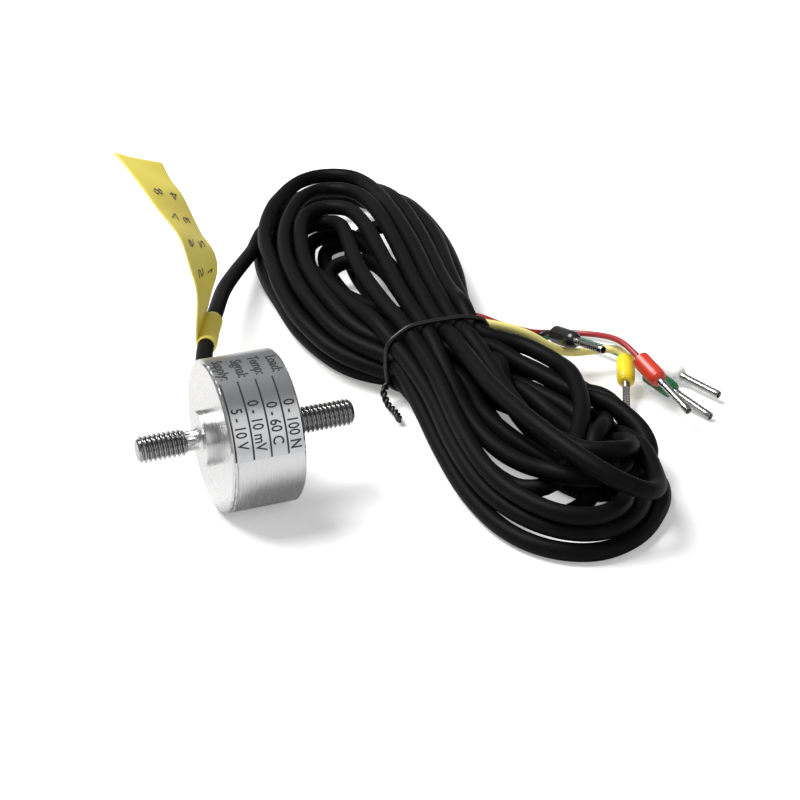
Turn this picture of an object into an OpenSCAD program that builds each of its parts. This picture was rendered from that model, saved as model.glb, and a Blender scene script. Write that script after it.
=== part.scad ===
// Miniature tension and compression force sensor with threaded studs at both ends.
// It lies on its round side: X along the measuring axis, Y towards the cable outlet, Z up.
// The origin is on the surface it lies on, below the middle of its length.

/* [Body] */
// Outside diameter of the round body
body_d = 22.5; // [20:0.5:26]
// Length of the body between its two end faces
body_len = 11; // [10.5:0.5:14]
// Wall between the cavity and the outside of the body
side_wall = 1.75; // [1.5:0.05:2]
// Gap between the cable anchor and the closed rear wall
rear_gap = 0.2; // [0.1:0.05:0.4]
// Chamfer on the outer edges of the body
edge_chamfer = 0.3; // [0.1:0.05:0.4]
// Chamfer on both edges of the seam
seam_chamfer = 0.1; // [0.05:0.05:0.2]

/* [Studs] */
// Outside diameter of both threaded studs
stud_d = 4; // [3:0.5:5]
// Height of the rear stud above the rear face
rear_stud_len = 10.8; // [8:0.2:14]
// Threaded length of the front stud
front_thread_len = 7.1; // [5:0.1:10]
// Chamfer at the free end of each stud
stud_chamfer = 0.5; // [0.2:0.1:0.7]
// Fillet where the rear stud meets the rear face
stud_fillet = 0.3; // [0.1:0.1:0.5]

/* [Sensing element] */
// Thickness of the front plate at its rim, outside the seam
rim_t = 0.8; // [0.6:0.1:1]
// Thickness of the elastic diaphragm
diaphragm_t = 0.9; // [0.7:0.05:1.1]
// Diameter of the hub on the front face
hub_d = 8.3; // [7.5:0.1:9]
// Height of the hub above the front face
hub_h = 1.6; // [1:0.1:2]
// Chamfer on the edge of the hub
hub_chamfer = 0.15; // [0.1:0.05:0.3]
// Diameter of the relief neck behind the front thread
neck_d = 3; // [2.4:0.1:3.4]
// Length of the relief neck
neck_len = 2.1; // [1.6:0.1:3]
// Diameter of the boss on the inside of the diaphragm
boss_d = 7; // [6:0.1:7.4]
// Depth of the boss behind the diaphragm
boss_h = 2.6; // [2:0.1:3]
// Wall of the ring that centres the plate in the housing
spigot_wall = 1.1; // [0.9:0.1:1.3]
// Gap between the centring ring and the cable anchor
ring_gap = 0.4; // [0.2:0.05:0.8]
// Radial clearance of the centring ring in the housing
spigot_gap = 0.02; // [0.01:0.01:0.04]
// Fillet between the diaphragm and its boss and ring
flexure_fillet = 0.6; // [0.3:0.1:0.8]

/* [Strain gauges] */
// Margin between a gauge and the fillet at each of its ends
gauge_margin = 0.14; // [0.1:0.02:0.4]
// Width of one gauge
gauge_w = 2; // [1.4:0.1:2.4]
// Thickness of one gauge with its backing
gauge_t = 0.1; // [0.08:0.01:0.15]
// Diameter of one gauge lead
gauge_lead_d = 0.2; // [0.15:0.01:0.3]
// Spacing of the two leads of one gauge
gauge_lead_pitch = 1; // [0.8:0.1:1.2]

/* [Bridge board] */
// Radial gap between the bridge board and the wall of the cavity
board_gap = 1; // [0.5:0.1:1.5]
// Diameter of the opening in the middle of the board
board_hole_d = 6; // [5:0.1:6.5]
// Thickness of the board
board_t = 0.8; // [0.6:0.1:1]
// Height of the pads that carry the board on the rear wall
board_pad_h = 0.5; // [0.4:0.1:0.7]
// Diameter of one board pad
board_pad_d = 2; // [1.5:0.1:2.2]
// Length of one trimming resistor
resistor_len = 2; // [1.6:0.1:2.4]
// Width of one trimming resistor
resistor_w = 1.2; // [0.8:0.1:1.3]
// Height of one trimming resistor
resistor_h = 0.5; // [0.4:0.05:0.6]

/* [Cable outlet] */
// Diameter of the outlet's shank in the body wall
shank_d = 4.2; // [4:0.1:4.6]
// Radial clearance of the shank in the body wall
shank_gap = 0.02; // [0.01:0.01:0.05]
// Reach of the shank into the cavity
shank_reach = 0.5; // [0.3:0.1:0.7]
// Diameter of the outlet's shoulder
shoulder_d = 5.8; // [5.4:0.1:6.2]
// Thickness of the outlet's shoulder
shoulder_h = 1.5; // [1:0.1:2]
// Depth of the flat seat for the shoulder, below the round of the body
seat_depth = 0.5; // [0.45:0.05:0.6]
// Radial clearance round the shoulder in its seat
seat_gap = 0.1; // [0.05:0.05:0.15]
// Diameter of the outlet's barrel
barrel_d = 4.8; // [4.6:0.1:5]
// Length of the outlet's barrel beyond the shoulder
barrel_len = 3.2; // [2.5:0.1:4]
// Bore of the outlet
outlet_bore_d = 3.5; // [3.4:0.1:3.7]
// Radial clearance of the seal in the outlet
seal_gap = 0.02; // [0.01:0.01:0.04]
// Length of the seal's tapered nose outside the barrel
seal_nose_len = 2.2; // [1.5:0.1:3]
// Diameter at the tip of the seal's nose
seal_tip_d = 3.6; // [3.4:0.1:3.8]
// Outside diameter of the crimped anchor ring inside the body
anchor_d = 4.6; // [4.4:0.1:5]
// Length of the anchor ring
anchor_len = 1.5; // [1:0.1:1.6]
// Radial clearance between the cable and what holds it
cable_gap = 0.02; // [0.01:0.01:0.04]

/* [Rating label] */
// Thickness of the foil label
label_t = 0.1; // [0.05:0.01:0.15]
// Margin between the label and each end face
label_margin = 0.35; // [0.3:0.05:1]
// Angle of the label's lower edge above the front horizontal
label_low_angle = 7; // [0:1:20]
// Angle that the label covers round the body
label_sweep = 150; // [100:1:155]

/* [Cable] */
// Diameter of the cable
cable_d = 2.7; // [2.6:0.05:2.8]
// Length of the unjacketed stub between the anchor and the cores
cable_stub_len = 0.6; // [0.4:0.1:0.7]
// Diameter of one insulated core
core_d = 0.5; // [0.4:0.05:0.5]
// Spacing of the cores where they leave the jacket
core_pitch = 0.52; // [0.51:0.01:0.53]

/* [Hank] */
// Height of the bundle where it is tied
waist_h = 12.5; // [11:0.5:14]
// Width of the bundle where it is tied
waist_w = 18; // [16:0.5:20]
// Thickness of the tie
tie_t = 0.8; // [0.6:0.1:1]
// Clearance of the tie above the surface that the hank lies on
tie_lift = 0.1; // [0:0.05:0.3]
// Diameter of the tie's twisted end
tie_twist_d = 1.3; // [1:0.1:1.6]
// Width of the groove for the tie
tie_groove_w = 2; // [1.6:0.2:3]
// Clearance of the cable and the wires in the pockets that they end in
pocket_gap = 0.4; // [0.3:0.1:0.8]

/* [Flag] */
// Width of the folded flag tape
flag_w = 11; // [10:0.2:12]
// Thickness of the folded flag
flag_t = 0.3; // [0.2:0.05:0.5]

/* [Wires and ferrules] */
// Diameter of one thin wire
wire_d = 1; // [0.8:0.1:1.1]
// Diameter of the sleeved shield wire
sleeved_wire_d = 1.4; // [1.2:0.1:1.5]
// Diameter of a ferrule's collar
collar_d = 3; // [2.8:0.1:3.4]
// Length of a ferrule's collar
collar_len = 6; // [5:0.5:7]
// Length of the collar's taper towards the pin
collar_taper = 1.4; // [1:0.1:1.8]
// Chamfer at the back of the collar
collar_chamfer = 0.15; // [0.1:0.05:0.3]
// Straight length of a wire where it leaves the hank and where it meets its ferrule
wire_stub = 1.6; // [1.4:0.1:1.8]
// Diameter of a ferrule's pin
pin_d = 1.3; // [1.1:0.1:1.5]
// Length of the pin outside its collar
pin_len = 8; // [6:0.5:10]
// Wall of the pin's tube
pin_wall = 0.15; // [0.1:0.05:0.2]
// Depth of the open end of the pin
pin_open = 1.2; // [0.8:0.1:2]

/* [Hidden] */

eps = 0.01;
round_fn = 96;
small_fn = 32;
// How far the middle of a fillet stands off its corner lines, as a share of its radius
arc_mid = 1 - cos(45);

body_r = body_d / 2;
axis_z = body_r;
front_x = -body_len / 2;
rear_x = body_len / 2;
cavity_r = body_r - side_wall;
cavity_rear_x = anchor_d / 2 + rear_gap;
seam_x = front_x + rim_t;
diaphragm_x = front_x + diaphragm_t;
boss_x = diaphragm_x + boss_h;
hub_x = front_x - hub_h;
neck_x = hub_x - neck_len;
front_end_x = neck_x - front_thread_len;
rear_end_x = rear_x + rear_stud_len;
spigot_r = cavity_r - spigot_gap;
spigot_end_x = -anchor_d / 2 - ring_gap;
ring_inner_r = spigot_r - spigot_wall;

gauge_len = ring_inner_r - boss_d / 2 - 2 * (flexure_fillet + gauge_margin);
gauge_mid_r = (boss_d / 2 + ring_inner_r) / 2;
gauge_top_x = diaphragm_x + gauge_t;
lead_r = gauge_mid_r + gauge_len / 2 - gauge_lead_d;
gauge_angles = [45, 135, 225, 315];

board_rear_x = cavity_rear_x - board_pad_h;
board_front_x = board_rear_x - board_t;
board_d = 2 * (cavity_r - board_gap);
board_ring_r = (board_d + board_hole_d) / 4;
notch_gap = 0.3;
pad_angles = [90, 210, 330];
resistor_angles = [160, 180, 200];

seat_y = body_r - seat_depth;
shank_end_y = cavity_r - shank_reach;
shoulder_y = seat_y + shoulder_h;
barrel_y = shoulder_y + barrel_len;
nose_y = barrel_y + seal_nose_len;
anchor_y = shank_end_y - anchor_len;
stub_y = anchor_y - cable_stub_len;
core_bend_r = 0.8;
core_count = 5;
notch_y = stub_y - notch_gap;

cord_sides = 8;

// The cable's route from the outlet to the hank
lead_route = [[0, nose_y, axis_z], [0, nose_y + 3, axis_z], [1.8, 27, 11.1], [5.2, 35.5, 10.6],
    [9, 44.5, 9.6], [13.4, 55, 8], [18.5, 65, 6.2], [23, 73, 4.8], [27, 80, 3.8]];
lead_end = lead_route[len(lead_route) - 1];
lead_end_dir = lead_end - lead_route[len(lead_route) - 2];

// The hank's plan outline, and the height of its top along Y
hank_outline = [[27, 76], [29, 88], [35, 99], [43, 107], [51, 109], [58, 103], [62, 91], [61, 75],
    [57, 56], [52, 40], [49, 27], [49, 12], [53, 0], [56, -12], [57, -25], [51, -35], [40, -38],
    [33, -35], [28, -26], [28, -13], [29, 0], [30.5, 14], [29.5, 25], [26, 38], [24.5, 52], [25.5, 65]];
hank_profile = [[-40, 0], [-40, 5], [-36, 10], [-29, 14], [-14, 16], [0, 15.5], [12, 14], [24, 13],
    [40, 12.5], [80, 12.5], [95, 11.5], [104, 9], [110, 5], [110, 0]];
hank_top = 20;
hank_span = 100;
lead_pocket_len = 25;
lead_pocket_side = 6;
waist_x = 39;
waist_y = 21;
waist_z = tie_t + tie_lift;
waist_corner = 4;
tie_end_route = [[29.6, 20.8, 4.4], [29, 19.6, 2.6], [28.9, 17.4, 1.2], [29.2, 15, 0.9], [28.9, 12.4, 0.8]];

// The flag's middle line and the way across it, from the wrap to the free end
flag_wrap_route = [[2.8, 29.4, 11], [4, 32.4, 10.8], [5.2, 35.5, 10.6], [7.1, 40, 10.1]];
flag_middle = [[3.6, 35.2, 10.6], [3.8, 35.3, 12.1], [4.4, 35.4, 15.6], [5.1, 36, 19.4], [4.8, 37.5, 23],
    [3.8, 39.8, 26.1], [2.5, 42.4, 28.9], [1.4, 45.1, 31.4], [0.1, 48.2, 33.4], [-0.9, 51.5, 35.2]];
flag_across = [[4.3, 10.6, -0.9], [5, 9.8, -1], [6, 9, -2], [6.3, 8.5, -2.8], [6, 8.4, -3.7],
    [6.5, 7.8, -4.1], [7.1, 7.1, -4.3], [7.8, 6.3, -4.4], [8.3, 5.5, -4.7], [8.9, 4.8, -4.8]];
flag_steps = 3;

// The wires leave the hank square to a slanted pocket, and each runs to the back of its ferrule
pocket_at = [46.4, 25.2, 0];
pocket_turn = -40;
pocket_floor = 7;
pocket_w = 8;
wire_out = [cos(pocket_turn), sin(pocket_turn), 0];
wire_side = [-sin(pocket_turn), cos(pocket_turn), 0];
ferrule_at_yellow = [68.7, 12.8, 4.2];
ferrule_to_yellow = [-5.9, -12.3, -3.2];
ferrule_at_red = [68.8, 8, 6.4];
ferrule_to_red = [1.5, -13.6, -2.9];
ferrule_at_green = [71, 9, 3];
ferrule_to_green = [4.2, -13.1, -2.2];
ferrule_at_white = [75, 14, 2];
ferrule_to_white = [4.4, -13.2, -0.5];
ferrule_at_black = [60.6, 22.2, 6];
ferrule_to_black = [1.7, -13.5, 3];
wire_route_yellow = wire_route(-1.7, 10.4, [[51, 21.6, 9.4], [55, 20, 7.8], [58, 19.2, 5.6],
    [61.5, 18.8, 4], [65.4, 18.6, 3.8], [68.6, 16.8, 4.4]], ferrule_at_yellow, ferrule_to_yellow);
wire_route_red = wire_route(0.1, 10.7, [[50.5, 23.4, 11.4], [54.5, 23.6, 9.8], [58, 26, 6.6],
    [62, 26.6, 4.8], [66.6, 21.8, 5.2], [68.2, 14.8, 7]], ferrule_at_red, ferrule_to_red);
wire_route_green = wire_route(-0.1, 9, [[51, 23.2, 8.2], [55.5, 25, 4.8], [61, 28, 2.8],
    [66.5, 27, 2], [70.4, 20.8, 1.8], [71.4, 14.6, 2.6]], ferrule_at_green, ferrule_to_green);
wire_route_white = wire_route(1.7, 9.9, [[51, 24.8, 9.6], [56, 28.4, 7], [61, 31, 4],
    [67, 30.6, 1.8], [72.6, 25.4, 1.2], [74.6, 19.4, 1.8]], ferrule_at_white, ferrule_to_white);
wire_route_black = wire_route(1.3, 8, [[50.4, 21.8, 6.8], [54, 22, 5], [57, 24.6, 4.2],
    [59.8, 25.8, 4.8]], ferrule_at_black, ferrule_to_black);

steel = [0.74, 0.75, 0.76];
bright_steel = [0.82, 0.83, 0.84];
foil = [0.88, 0.89, 0.9];
amber = [0.85, 0.55, 0.2];
board_green = [0.1, 0.4, 0.22];
copper = [0.8, 0.5, 0.3];
brass = [0.8, 0.68, 0.35];
tin = [0.7, 0.7, 0.68];
jacket_black = [0.06, 0.06, 0.065];
rubber_black = [0.09, 0.09, 0.09];
yellow = [0.9, 0.84, 0.25];
red = [0.8, 0.16, 0.1];
green = [0.08, 0.32, 0.16];
white = [0.93, 0.93, 0.92];

function unit(v) = v / norm(v);

// A wire's route, from its place in the pocket by way of the given points to the back of its ferrule
function wire_route(aside, height, by_way, at, to) =
    let (start = pocket_at + wire_side * aside + [0, 0, height])
    concat([start, start + wire_out * wire_stub], by_way, [at - unit(to) * wire_stub, at]);

// The curve through four points, between the second and the third
function between(a, b, c, d, t) =
    ((2 * b) + (c - a) * t + (2 * a - 5 * b + 4 * c - d) * t * t + (3 * b - a - 3 * c + d) * t * t * t) / 2;

// A smooth open line through the given points, which leaves and arrives straight
function smooth_open(p, steps) =
    let (n = len(p), q = concat([2 * p[0] - p[1]], p, [2 * p[n - 1] - p[n - 2]]))
    concat([for (i = [0:n - 2], s = [0:steps - 1]) between(q[i], q[i + 1], q[i + 2], q[i + 3], s / steps)],
        [p[n - 1]]);

// A smooth closed outline through the given points
function smooth_closed(p, steps) =
    let (n = len(p))
    [for (i = [0:n - 1], s = [0:steps - 1])
        between(p[(i + n - 1) % n], p[i], p[(i + 1) % n], p[(i + 2) % n], s / steps)];

// The direction of a line at each of its points
function headings(line) =
    let (n = len(line))
    [for (i = [0:n - 1]) unit(line[min(i + 1, n - 1)] - line[max(i - 1, 0)])];

// The faces of a closed skin over rings that all have the same number of points
function skin_faces(rings, sides) = concat(
    [[for (k = [sides - 1:-1:0]) k]],
    [for (i = [0:rings - 2], k = [0:sides - 1])
        [i * sides + k, i * sides + (k + 1) % sides, (i + 1) * sides + k]],
    [for (i = [0:rings - 2], k = [0:sides - 1])
        [i * sides + (k + 1) % sides, (i + 1) * sides + (k + 1) % sides, (i + 1) * sides + k]],
    [[for (k = [0:sides - 1]) (rings - 1) * sides + k]]);

// A round cord along a route, cut off square to the route at both ends
module cord(route, diameter, steps) {
    line = smooth_open(route, steps);
    n = len(line);
    mid = headings(line);
    last = len(route) - 1;
    heading = [for (i = [0:n - 1])
        i == 0 ? unit(route[1] - route[0]) : i == n - 1 ? unit(route[last] - route[last - 1]) : mid[i]];
    points = [for (i = [0:n - 1])
        let (side = unit(cross(heading[i], [0, 0, 1])), up = cross(side, heading[i]))
        for (k = [0:cord_sides - 1])
            let (a = 360 * k / cord_sides)
            line[i] + diameter / 2 * (cos(a) * side + sin(a) * up)];
    polyhedron(points, skin_faces(n, cord_sides), convexity = 6);
}

// A flat ribbon along a smooth middle line, with the way across it given at each of its points
module ribbon(middle, across, width, thickness, steps) {
    line = smooth_open(middle, steps);
    ways = smooth_open(across, steps);
    n = len(line);
    heading = headings(line);
    points = [for (i = [0:n - 1])
        let (half = unit(ways[i]) * width / 2, normal = unit(cross(half, heading[i])) * thickness / 2)
        for (c = [half - normal, half + normal, -half + normal, -half - normal])
            line[i] + c];
    polyhedron(points, skin_faces(n, 4), convexity = 6);
}

// Turns a profile of radius and length so that it runs along the sensor's axis
module along_axis() {
    translate([0, 0, axis_z]) rotate([0, 90, 0]) children();
}

// Turns a profile of radius and length so that it runs out through the cable outlet
module along_outlet() {
    translate([0, 0, axis_z]) rotate([-90, 0, 0]) children();
}

// Puts a shape at a radius and an angle round the sensor's axis, from X upwards
module round_axis(x, radius, angle) {
    translate([x, 0, axis_z]) rotate([angle, 0, 0]) translate([0, radius, 0]) children();
}

// Puts a shape that is drawn along Z at a ferrule's back face, pointing to its tip
module at_ferrule(at, to) {
    translate(at)
        rotate([0, acos(to[2] / norm(to)), atan2(to[1], to[0])]) children();
}

// The turned cup of the body with its rear stud
module housing() {
    color(steel) difference() {
        along_axis() rotate_extrude($fn = round_fn) polygon([
            [0, cavity_rear_x], [cavity_r - edge_chamfer, cavity_rear_x],
            [cavity_r, cavity_rear_x - edge_chamfer], [cavity_r, seam_x],
            [body_r - seam_chamfer, seam_x], [body_r, seam_x + seam_chamfer],
            [body_r, rear_x - edge_chamfer], [body_r - edge_chamfer, rear_x],
            [stud_d / 2 + stud_fillet, rear_x], [stud_d / 2, rear_x + stud_fillet],
            [stud_d / 2, rear_end_x - stud_chamfer], [stud_d / 2 - stud_chamfer, rear_end_x],
            [0, rear_end_x]]);
        along_outlet() translate([0, 0, cavity_r / 2])
            cylinder(r = shank_d / 2 + shank_gap, h = body_r, $fn = round_fn);
        along_outlet() translate([0, 0, seat_y])
            cylinder(r = shoulder_d / 2 + seat_gap, h = body_r, $fn = round_fn);
    }
}

// The turned front plate: rim, centring ring, diaphragm, boss, hub, neck and front stud in one piece
module sensing_element() {
    neck_blend = (stud_d - neck_d) / 2;
    color(bright_steel) along_axis() rotate_extrude($fn = round_fn) polygon([
        [0, front_end_x], [stud_d / 2 - stud_chamfer, front_end_x],
        [stud_d / 2, front_end_x + stud_chamfer], [stud_d / 2, neck_x - neck_blend],
        [neck_d / 2, neck_x], [neck_d / 2, hub_x - neck_blend], [stud_d / 2, hub_x],
        [hub_d / 2 - hub_chamfer, hub_x], [hub_d / 2, hub_x + hub_chamfer],
        [hub_d / 2, front_x], [body_r - edge_chamfer, front_x], [body_r, front_x + edge_chamfer],
        [body_r, seam_x - seam_chamfer], [body_r - seam_chamfer, seam_x], [spigot_r, seam_x],
        [spigot_r, spigot_end_x], [ring_inner_r, spigot_end_x],
        [ring_inner_r, diaphragm_x + flexure_fillet],
        [ring_inner_r - flexure_fillet * arc_mid, diaphragm_x + flexure_fillet * arc_mid],
        [ring_inner_r - flexure_fillet, diaphragm_x],
        [boss_d / 2 + flexure_fillet, diaphragm_x],
        [boss_d / 2 + flexure_fillet * arc_mid, diaphragm_x + flexure_fillet * arc_mid],
        [boss_d / 2, diaphragm_x + flexure_fillet], [boss_d / 2, boss_x], [0, boss_x]]);
}

// The foil label, bent round the front and the top of the body
module rating_label() {
    label_len = body_len - 2 * label_margin;
    color(foil) translate([-label_len / 2, 0, axis_z])
        rotate([180 - label_low_angle - label_sweep, 0, 0]) rotate([0, 90, 0]) rotate([0, 0, 90])
            rotate_extrude(angle = label_sweep, $fn = round_fn)
                translate([body_r, 0]) square([label_t, label_len]);
}

// One foil gauge, bonded to the inside of the diaphragm
module strain_gauge(angle) {
    color(amber) round_axis(diaphragm_x, gauge_mid_r, angle)
        translate([0, -gauge_len / 2, -gauge_w / 2]) cube([gauge_t, gauge_len, gauge_w]);
}

// Two leads from each gauge to the bridge board
module gauge_leads() {
    color(copper) for (angle = gauge_angles, side = [-1, 1])
        round_axis(gauge_top_x, lead_r, angle) translate([0, 0, side * gauge_lead_pitch / 2])
            rotate([0, 90, 0]) cylinder(d = gauge_lead_d, h = board_front_x - gauge_top_x, $fn = 16);
}

// The ring board that joins the gauges into a bridge, cut away round the cable's end
module bridge_board() {
    notch_w = anchor_d + 2 * notch_gap;
    color(board_green) difference() {
        along_axis() translate([0, 0, board_front_x]) cylinder(d = board_d, h = board_t, $fn = round_fn);
        along_axis() translate([0, 0, board_front_x - eps])
            cylinder(d = board_hole_d, h = board_t + 2 * eps, $fn = round_fn);
        translate([board_front_x - eps, notch_y, axis_z - notch_w / 2])
            cube([board_t + 2 * eps, board_d, notch_w]);
    }
}

// Three pads that hold the board off the rear wall
module board_pads() {
    color(white) for (angle = pad_angles)
        round_axis(board_rear_x, board_ring_r, angle) rotate([0, 90, 0])
            cylinder(d = board_pad_d, h = board_pad_h, $fn = small_fn);
}

// The resistors that trim the bridge
module trim_resistors() {
    color(rubber_black) for (angle = resistor_angles)
        round_axis(board_front_x - resistor_h, board_ring_r, angle)
            translate([0, -resistor_len / 2, -resistor_w / 2]) cube([resistor_h, resistor_len, resistor_w]);
}

// The turned metal outlet, pressed into the body wall
module cable_outlet() {
    color(steel) difference() {
        union() {
            along_outlet() translate([0, 0, shank_end_y])
                cylinder(d = shank_d, h = seat_y - shank_end_y + eps, $fn = round_fn);
            along_outlet() translate([0, 0, seat_y])
                cylinder(d = shoulder_d, h = shoulder_h, $fn = round_fn);
            along_outlet() translate([0, 0, shoulder_y - eps])
                cylinder(d = barrel_d, h = barrel_len + eps, $fn = round_fn);
        }
        along_outlet() translate([0, 0, shank_end_y - eps])
            cylinder(d = outlet_bore_d, h = barrel_y - shank_end_y + 2 * eps, $fn = round_fn);
    }
}

// The rubber seal that grips the cable, with a tapered nose outside
module outlet_seal() {
    color(rubber_black) along_outlet() rotate_extrude($fn = round_fn) polygon([
        [cable_d / 2 + cable_gap, seat_y], [outlet_bore_d / 2 - seal_gap, seat_y],
        [outlet_bore_d / 2 - seal_gap, barrel_y], [barrel_d / 2, barrel_y], [seal_tip_d / 2, nose_y],
        [cable_d / 2 + cable_gap, nose_y]]);
}

// The crimped ring that keeps the cable from being pulled out
module cable_anchor() {
    color(brass) along_outlet() translate([0, 0, anchor_y]) difference() {
        cylinder(d = anchor_d, h = anchor_len, $fn = round_fn);
        translate([0, 0, -eps])
            cylinder(r = cable_d / 2 + cable_gap, h = anchor_len + 2 * eps, $fn = round_fn);
    }
}

// The last stretch of the cable, through the seal and the anchor
module cable_inner_end() {
    color(jacket_black) along_outlet() translate([0, 0, stub_y])
        cylinder(d = cable_d, h = nose_y - stub_y, $fn = round_fn);
}

// The cores, bent from the jacket's end to the board
module inner_cores() {
    core_run = board_front_x - core_bend_r;
    color(copper) for (i = [0:core_count - 1])
        translate([0, stub_y, axis_z + (i - (core_count - 1) / 2) * core_pitch]) {
            translate([core_bend_r, 0, 0]) rotate([0, 0, 180])
                rotate_extrude(angle = 90, $fn = 48) translate([core_bend_r, 0])
                    circle(d = core_d, $fn = 16);
            translate([core_bend_r, -core_bend_r, 0]) rotate([0, 90, 0])
                cylinder(d = core_d, h = core_run, $fn = 16);
        }
}

// The cable between the outlet and the hank
module cable_lead() {
    color(jacket_black) cord(lead_route, cable_d, 2);
}

// The rounded section of the bundle where it is tied
module waist_section(extra) {
    translate([waist_x - waist_w / 2, waist_z]) offset(r = extra) offset(r = waist_corner, $fn = small_fn)
        offset(delta = -waist_corner) square([waist_w, waist_h - waist_z]);
}

// The outer shape of the coiled cable, narrowed where it is tied
module cable_hank() {
    lead_pocket_w = cable_d + 2 * pocket_gap;
    color(jacket_black) difference() {
        intersection() {
            linear_extrude(hank_top) polygon(smooth_closed(hank_outline, 3));
            rotate([90, 0, 90]) linear_extrude(hank_span) polygon(hank_profile);
        }
        translate([0, waist_y + tie_groove_w / 2, 0]) rotate([90, 0, 0])
            linear_extrude(tie_groove_w) difference() {
                translate([0, -hank_top]) square([hank_span, 2 * hank_top]);
                waist_section(0);
            }
        translate(lead_end) rotate([0, 0, atan2(lead_end_dir[1], lead_end_dir[0])])
            rotate([0, -asin(lead_end_dir[2] / norm(lead_end_dir)), 0])
                translate([-lead_pocket_len, -lead_pocket_w / 2 - lead_pocket_side, -lead_pocket_w / 2])
                    cube([lead_pocket_len, lead_pocket_w + lead_pocket_side, lead_pocket_w]);
        translate(pocket_at + [0, 0, pocket_floor]) rotate([0, 0, pocket_turn])
            translate([0, -pocket_w / 2, 0]) cube([hank_top, pocket_w, hank_top]);
    }
}

// The wire tie round the middle of the hank, with its twisted end
module hank_tie() {
    color(rubber_black) {
        translate([0, waist_y + tie_t / 2, 0]) rotate([90, 0, 0]) linear_extrude(tie_t) difference() {
            waist_section(tie_t);
            waist_section(0);
        }
        cord(tie_end_route, tie_twist_d, 2);
    }
}

// The folded flag of tape with its wrap round the cable
module flag_label() {
    color(yellow) {
        cord(flag_wrap_route, cable_d + 2 * flag_t, 2);
        ribbon(flag_middle, flag_across, flag_w, flag_t, flag_steps);
    }
}

module wire_yellow() {
    color(yellow) cord(wire_route_yellow, sleeved_wire_d, 2);
}

module wire_red() {
    color(red) cord(wire_route_red, wire_d, 2);
}

module wire_green() {
    color(green) cord(wire_route_green, wire_d, 2);
}

module wire_white() {
    color(white) cord(wire_route_white, wire_d, 2);
}

module wire_black() {
    color(rubber_black) cord(wire_route_black, wire_d, 2);
}

// The moulded collar of a ferrule, rounded down towards its pin
module collar(at, to, shade) {
    collar_r = collar_d / 2;
    mouth_r = pin_d / 2 + pin_wall;
    nose = [for (a = [0:30:90])
        [mouth_r + (collar_r - mouth_r) * cos(a), collar_len - collar_taper * (1 - sin(a))]];
    color(shade) at_ferrule(at, to) rotate_extrude($fn = small_fn) polygon(concat(
        [[0, 0], [collar_r - collar_chamfer, 0], [collar_r, collar_chamfer]], nose, [[0, collar_len]]));
}

// The tinned tube of a ferrule, open at its tip
module pin(at, to) {
    color(tin) at_ferrule(at, to) translate([0, 0, collar_len]) difference() {
        cylinder(d = pin_d, h = pin_len, $fn = small_fn);
        translate([0, 0, pin_len - pin_open])
            cylinder(d = pin_d - 2 * pin_wall, h = pin_open + eps, $fn = small_fn);
    }
}

housing();
sensing_element();
rating_label();
strain_gauge(gauge_angles[0]);  // strain_gauge_1
strain_gauge(gauge_angles[1]);  // strain_gauge_2
strain_gauge(gauge_angles[2]);  // strain_gauge_3
strain_gauge(gauge_angles[3]);  // strain_gauge_4
gauge_leads();
bridge_board();
board_pads();
trim_resistors();
cable_outlet();
outlet_seal();
cable_anchor();
cable_inner_end();
inner_cores();
cable_lead();
cable_hank();
hank_tie();
flag_label();
wire_yellow();
wire_red();
wire_green();
wire_white();
wire_black();
collar(ferrule_at_yellow, ferrule_to_yellow, yellow);  // collar_yellow
collar(ferrule_at_red, ferrule_to_red, red);  // collar_red
collar(ferrule_at_green, ferrule_to_green, green);  // collar_green
collar(ferrule_at_white, ferrule_to_white, white);  // collar_white
collar(ferrule_at_black, ferrule_to_black, rubber_black);  // collar_black
pin(ferrule_at_yellow, ferrule_to_yellow);  // pin_yellow
pin(ferrule_at_red, ferrule_to_red);  // pin_red
pin(ferrule_at_green, ferrule_to_green);  // pin_green
pin(ferrule_at_white, ferrule_to_white);  // pin_white
pin(ferrule_at_black, ferrule_to_black);  // pin_black
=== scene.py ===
"""Looks of a miniature force sensor with its tied cable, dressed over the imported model."""

import math

import bpy
import numpy as np
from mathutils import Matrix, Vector


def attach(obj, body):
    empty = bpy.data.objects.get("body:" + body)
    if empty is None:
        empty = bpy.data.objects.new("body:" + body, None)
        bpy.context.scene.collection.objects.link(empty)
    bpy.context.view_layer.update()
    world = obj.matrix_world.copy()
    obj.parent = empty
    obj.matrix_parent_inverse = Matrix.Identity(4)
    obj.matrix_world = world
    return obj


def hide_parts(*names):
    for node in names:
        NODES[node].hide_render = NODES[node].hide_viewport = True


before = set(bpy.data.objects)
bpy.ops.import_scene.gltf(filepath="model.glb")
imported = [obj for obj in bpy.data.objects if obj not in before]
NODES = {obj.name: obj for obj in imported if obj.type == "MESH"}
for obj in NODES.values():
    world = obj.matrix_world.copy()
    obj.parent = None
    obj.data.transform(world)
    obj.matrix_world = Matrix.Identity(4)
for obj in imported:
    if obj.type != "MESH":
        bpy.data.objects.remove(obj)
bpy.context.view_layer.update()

MM = 0.001
bpy.ops.object.select_all(action="DESELECT")

# Camera: 90 mm lens on a 36 mm sensor, aimed at a point on the floor between sensor and hank
CAMERA_TARGET = (32.2, 20.6, 0.0)
CAMERA_DISTANCE = 323.1
CAMERA_AZIMUTH = -21.6
CAMERA_ELEVATION = 27.7
CAMERA_LENS = 90.0

# Sizes of the sensor, in mm
BODY_D = 22.5
AXIS_Z = BODY_D / 2
STUD_D = 4.0
THREAD_PITCH = 0.7
THREAD_DEPTH = 0.42
NOSE_Y = 17.65
CABLE_D = 2.7
TIE_D = 0.8
WAIST_Y = 21.0

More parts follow.
